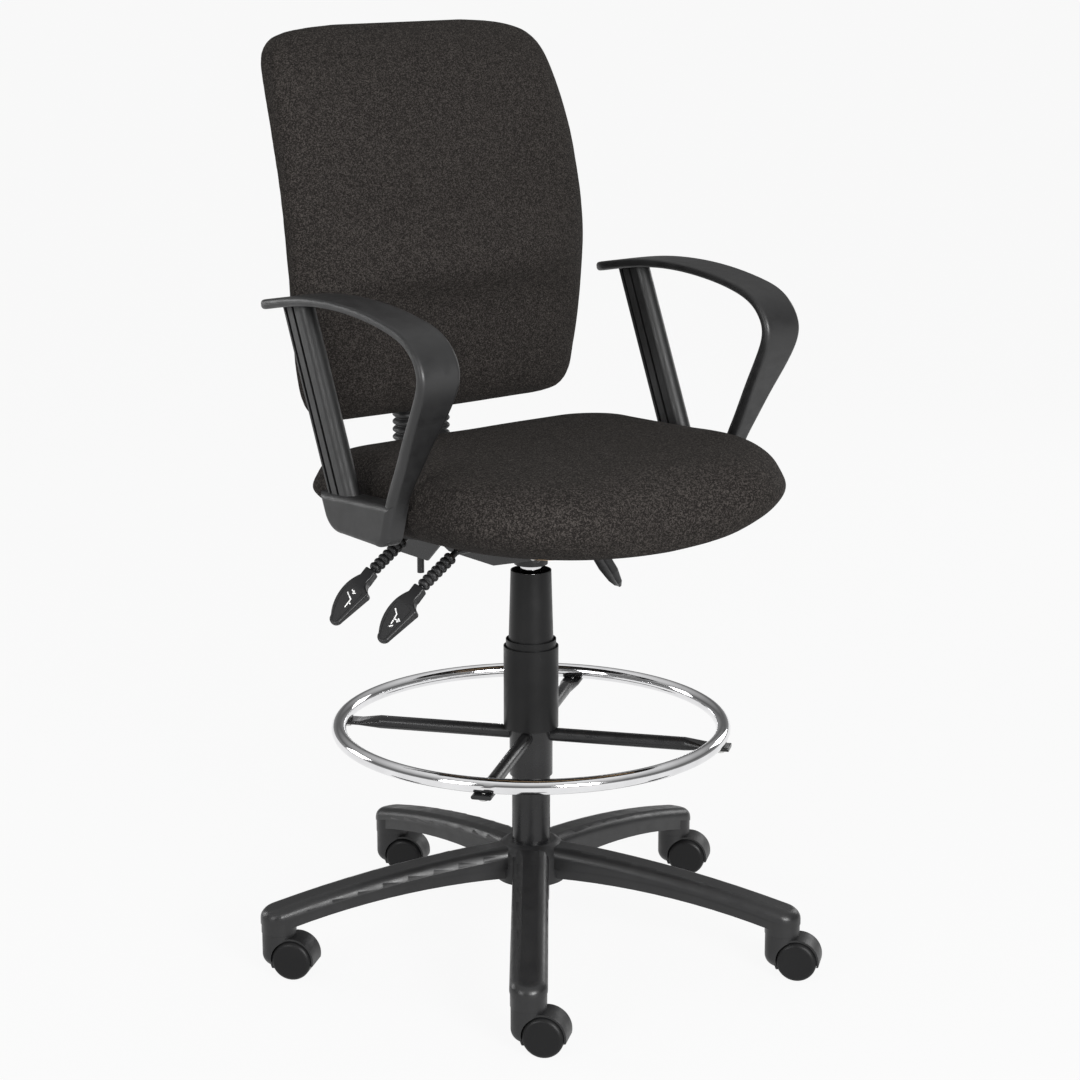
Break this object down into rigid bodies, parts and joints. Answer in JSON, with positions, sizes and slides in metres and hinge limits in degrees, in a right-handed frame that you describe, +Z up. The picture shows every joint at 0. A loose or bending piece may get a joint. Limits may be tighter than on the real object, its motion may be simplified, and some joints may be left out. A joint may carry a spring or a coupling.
{
  "type": "drafting chair",
  "caption": "Fabric drafting chair with loop arms, gas lift, chrome foot ring and a five-star base on twin-wheel casters",
  "frame": {"origin": "on the floor under the column's axis", "axes": "+Z up along the column, the chair faces -Y, +X to the sitter's left"},
  "size_m": [0.6875, 0.6701, 1.147],
  "materials": {
    "black_plastic": "fine grain",
    "black_enamel": "satin",
    "plated_steel": "satin",
    "chrome": "polished",
    "black_rubber": "matt",
    "plywood": "raw",
    "charcoal_fabric": "woven"
  },
  "bodies": {
    "base": {"base_star": "black_plastic", "column_tube": "black_enamel", "guide_bush": "black_plastic", "cover_bottom": "black_plastic"},
    "lift_rod": {"piston_rod": "plated_steel", "thrust_bearing": "plated_steel"},
    "lift": {"gas_cylinder": "chrome", "cover_top": "black_plastic", "mechanism_housing": "black_enamel", "tilt_pin": "plated_steel", "recline_pin": "plated_steel", "recline_spring": "plated_steel"},
    "cover_middle": {"cover_middle": "black_plastic"},
    "release_button": {"release_button": "plated_steel"},
    "height_lever": {"height_lever": "black_plastic"},
    "recline_lever": {"recline_lever_rod": "black_enamel", "recline_lever_sleeve": "black_rubber", "recline_lever_paddle": "black_plastic"},
    "tilt_lever": {"tilt_lever_rod": "black_enamel", "tilt_lever_sleeve": "black_rubber", "tilt_lever_paddle": "black_plastic"},
    "seat": {"seat_plate": "black_enamel", "seat_board": "plywood", "seat_cushion": "charcoal_fabric", "seat_bolts": "plated_steel", "arm_right": "black_plastic", "arm_left": "black_plastic"},
    "back": {"back_bracket": "black_enamel", "upright_bar": "black_enamel", "upright_boot": "black_rubber"},
    "back_pad": {"back_board": "plywood", "back_cushion": "charcoal_fabric", "back_shell": "black_plastic", "back_slide_bracket": "black_plastic", "back_bolts": "plated_steel"},
    "foot_ring": {"foot_ring_tube": "chrome", "foot_ring_hub": "black_enamel", "foot_ring_spokes": "black_enamel", "foot_ring_bolts": "plated_steel"},
    "foot_ring_knob": {"foot_ring_knob": "black_plastic"},
    "caster_1": {"caster_1_hood": "black_plastic", "caster_1_stem_and_axle": "plated_steel"},
    "caster_1_wheel_a": {"caster_1_wheel_a": "black_plastic"},
    "caster_1_wheel_b": {"caster_1_wheel_b": "black_plastic"},
    "caster_2": {"caster_2_hood": "black_plastic", "caster_2_stem_and_axle": "plated_steel"},
    "caster_2_wheel_a": {"caster_2_wheel_a": "black_plastic"},
    "caster_2_wheel_b": {"caster_2_wheel_b": "black_plastic"},
    "caster_3": {"caster_3_hood": "black_plastic", "caster_3_stem_and_axle": "plated_steel"},
    "caster_3_wheel_a": {"caster_3_wheel_a": "black_plastic"},
    "caster_3_wheel_b": {"caster_3_wheel_b": "black_plastic"},
    "caster_4": {"caster_4_hood": "black_plastic", "caster_4_stem_and_axle": "plated_steel"},
    "caster_4_wheel_a": {"caster_4_wheel_a": "black_plastic"},
    "caster_4_wheel_b": {"caster_4_wheel_b": "black_plastic"},
    "caster_5": {"caster_5_hood": "black_plastic", "caster_5_stem_and_axle": "plated_steel"},
    "caster_5_wheel_a": {"caster_5_wheel_a": "black_plastic"},
    "caster_5_wheel_b": {"caster_5_wheel_b": "black_plastic"}
  },
  "joints": [
    {"name": "seat_swivel", "type": "hinge", "parent": "base", "child": "lift_rod", "pos_m": [0, 0, 0.07], "axis": [0, 0, 1], "continuous": true},
    {"name": "seat_height", "type": "slide", "parent": "lift_rod", "child": "lift", "axis": [0, 0, 1], "range_m": [-0.03, 0.1]},
    {"name": "cover_slide", "type": "slide", "parent": "base", "child": "cover_middle", "axis": [0, 0, 1], "range_m": [-0.02, 0.066]},
    {"name": "release_button_press", "type": "slide", "parent": "lift", "child": "release_button", "axis": [0, 0, 1], "range_m": [-0.0045, 0]},
    {"name": "height_lever_lift", "type": "hinge", "parent": "lift", "child": "height_lever", "pos_m": [0.04, 0, 0.545], "axis": [0, -1, 0], "range_deg": [0, 6], "stiffness_Nm_per_rad": 8},
    {"name": "recline_lever_lift", "type": "hinge", "parent": "lift", "child": "recline_lever", "pos_m": [-0.04, 0.06, 0.545], "axis": [0, 1, 0], "range_deg": [0, 4], "stiffness_Nm_per_rad": 8},
    {"name": "tilt_lever_lift", "type": "hinge", "parent": "lift", "child": "tilt_lever", "pos_m": [-0.04, -0.04, 0.545], "axis": [0, 1, 0], "range_deg": [0, 4], "stiffness_Nm_per_rad": 8},
    {"name": "seat_tilt", "type": "hinge", "parent": "lift", "child": "seat", "pos_m": [0, -0.085, 0.538], "axis": [1, 0, 0], "range_deg": [-1.5, 6]},
    {"name": "back_recline", "type": "hinge", "parent": "lift", "child": "back", "pos_m": [0, 0.105, 0.528], "axis": [-1, 0, 0], "range_deg": [-5, 15]},
    {"name": "back_height", "type": "slide", "parent": "back", "child": "back_pad", "axis": [0, 0, 1], "range_m": [0, 0.06]},
    {"name": "foot_ring_height", "type": "slide", "parent": "base", "child": "foot_ring", "axis": [0, 0, 1], "range_m": [-0.085, 0]},
    {"name": "foot_ring_knob_turn", "type": "hinge", "parent": "foot_ring", "child": "foot_ring_knob", "pos_m": [0, 0, 0.25], "axis": [0.6177, 0.7864, 0], "range_deg": [-90, 270]},
    {"name": "caster_1_swivel", "type": "hinge", "parent": "base", "child": "caster_1", "pos_m": [-0.20356, -0.25591, 0.06], "axis": [0, 0, 1], "continuous": true},
    {"name": "caster_1_wheel_a_spin", "type": "hinge", "parent": "caster_1", "child": "caster_1_wheel_a", "pos_m": [-0.19066, -0.27184, 0.025], "axis": [0.7771, 0.6293, 0], "continuous": true},
    {"name": "caster_1_wheel_b_spin", "type": "hinge", "parent": "caster_1", "child": "caster_1_wheel_b", "pos_m": [-0.19066, -0.27184, 0.025], "axis": [0.7771, 0.6293, 0], "continuous": true},
    {"name": "caster_2_swivel", "type": "hinge", "parent": "base", "child": "caster_2", "pos_m": [0.18048, -0.27268, 0.06], "axis": [0, 0, 1], "continuous": true},
    {"name": "caster_2_wheel_a_spin", "type": "hinge", "parent": "caster_2", "child": "caster_2_wheel_a", "pos_m": [0.19338, -0.28861, 0.025], "axis": [0.7771, 0.6293, 0], "continuous": true},
    {"name": "caster_2_wheel_b_spin", "type": "hinge", "parent": "caster_2", "child": "caster_2_wheel_b", "pos_m": [0.19338, -0.28861, 0.025], "axis": [0.7771, 0.6293, 0], "continuous": true},
    {"name": "caster_3_swivel", "type": "hinge", "parent": "base", "child": "caster_3", "pos_m": [0.31511, 0.08739, 0.06], "axis": [0, 0, 1], "continuous": true},
    {"name": "caster_3_wheel_a_spin", "type": "hinge", "parent": "caster_3", "child": "caster_3_wheel_a", "pos_m": [0.32801, 0.07146, 0.025], "axis": [0.7771, 0.6293, 0], "continuous": true},
    {"name": "caster_3_wheel_b_spin", "type": "hinge", "parent": "caster_3", "child": "caster_3_wheel_b", "pos_m": [0.32801, 0.07146, 0.025], "axis": [0.7771, 0.6293, 0], "continuous": true},
    {"name": "caster_4_swivel", "type": "hinge", "parent": "base", "child": "caster_4", "pos_m": [0.01426, 0.32669, 0.06], "axis": [0, 0, 1], "continuous": true},
    {"name": "caster_4_wheel_a_spin", "type": "hinge", "parent": "caster_4", "child": "caster_4_wheel_a", "pos_m": [0.02716, 0.31076, 0.025], "axis": [0.7771, 0.6293, 0], "continuous": true},
    {"name": "caster_4_wheel_b_spin", "type": "hinge", "parent": "caster_4", "child": "caster_4_wheel_b", "pos_m": [0.02716, 0.31076, 0.025], "axis": [0.7771, 0.6293, 0], "continuous": true},
    {"name": "caster_5_swivel", "type": "hinge", "parent": "base", "child": "caster_5", "pos_m": [-0.30629, 0.11452, 0.06], "axis": [0, 0, 1], "continuous": true},
    {"name": "caster_5_wheel_a_spin", "type": "hinge", "parent": "caster_5", "child": "caster_5_wheel_a", "pos_m": [-0.29339, 0.09859, 0.025], "axis": [0.7771, 0.6293, 0], "continuous": true},
    {"name": "caster_5_wheel_b_spin", "type": "hinge", "parent": "caster_5", "child": "caster_5_wheel_b", "pos_m": [-0.29339, 0.09859, 0.025], "axis": [0.7771, 0.6293, 0], "continuous": true}
  ],
  "couplings": [
    {"joint": "cover_slide", "follows": "seat_height", "ratio": 0.65},
    {"joint": "release_button_press", "follows": "height_lever_lift", "m_per_rad": -0.0382}
  ]
}
